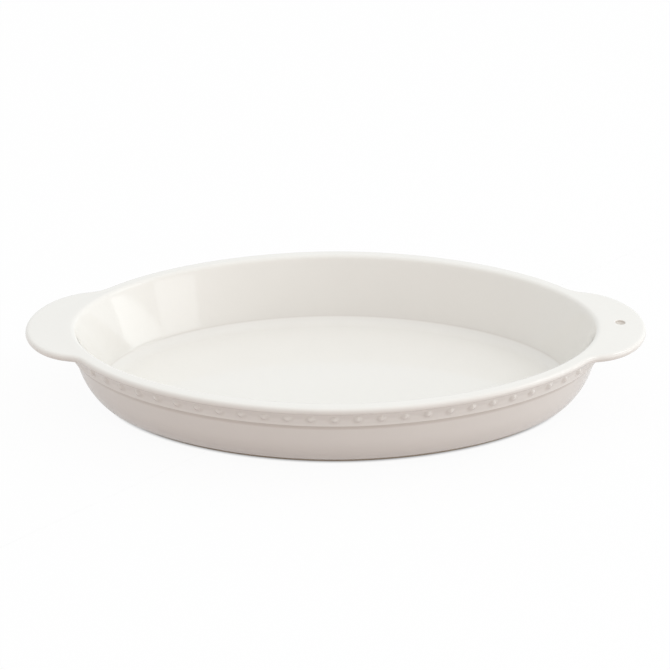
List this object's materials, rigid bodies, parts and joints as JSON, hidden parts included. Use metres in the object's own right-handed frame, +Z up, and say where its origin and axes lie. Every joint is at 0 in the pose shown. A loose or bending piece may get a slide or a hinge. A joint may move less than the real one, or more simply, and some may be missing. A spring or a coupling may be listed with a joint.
{
  "type": "oval baking dish",
  "caption": "Shallow oval stoneware baking dish with a flat lug handle at each end, a beaded strip under the lip and a peg hole in one handle.",
  "frame": {"origin": "middle of the foot ring, on the surface that the dish stands on", "axes": "+X along the length, to the handle with the peg hole; +Y across, to the back; +Z up, out of the hollow"},
  "size_m": [0.434, 0.254, 0.055],
  "materials": {
    "glaze": "gloss",
    "bare_clay": "matte"
  },
  "bodies": {
    "root": {"dish_body": "glaze", "left_handle": "glaze", "right_handle": "glaze", "front_bead_strip": "glaze", "rear_bead_strip": "glaze", "foot_ring": "bare_clay"}
  },
  "joints": []
}
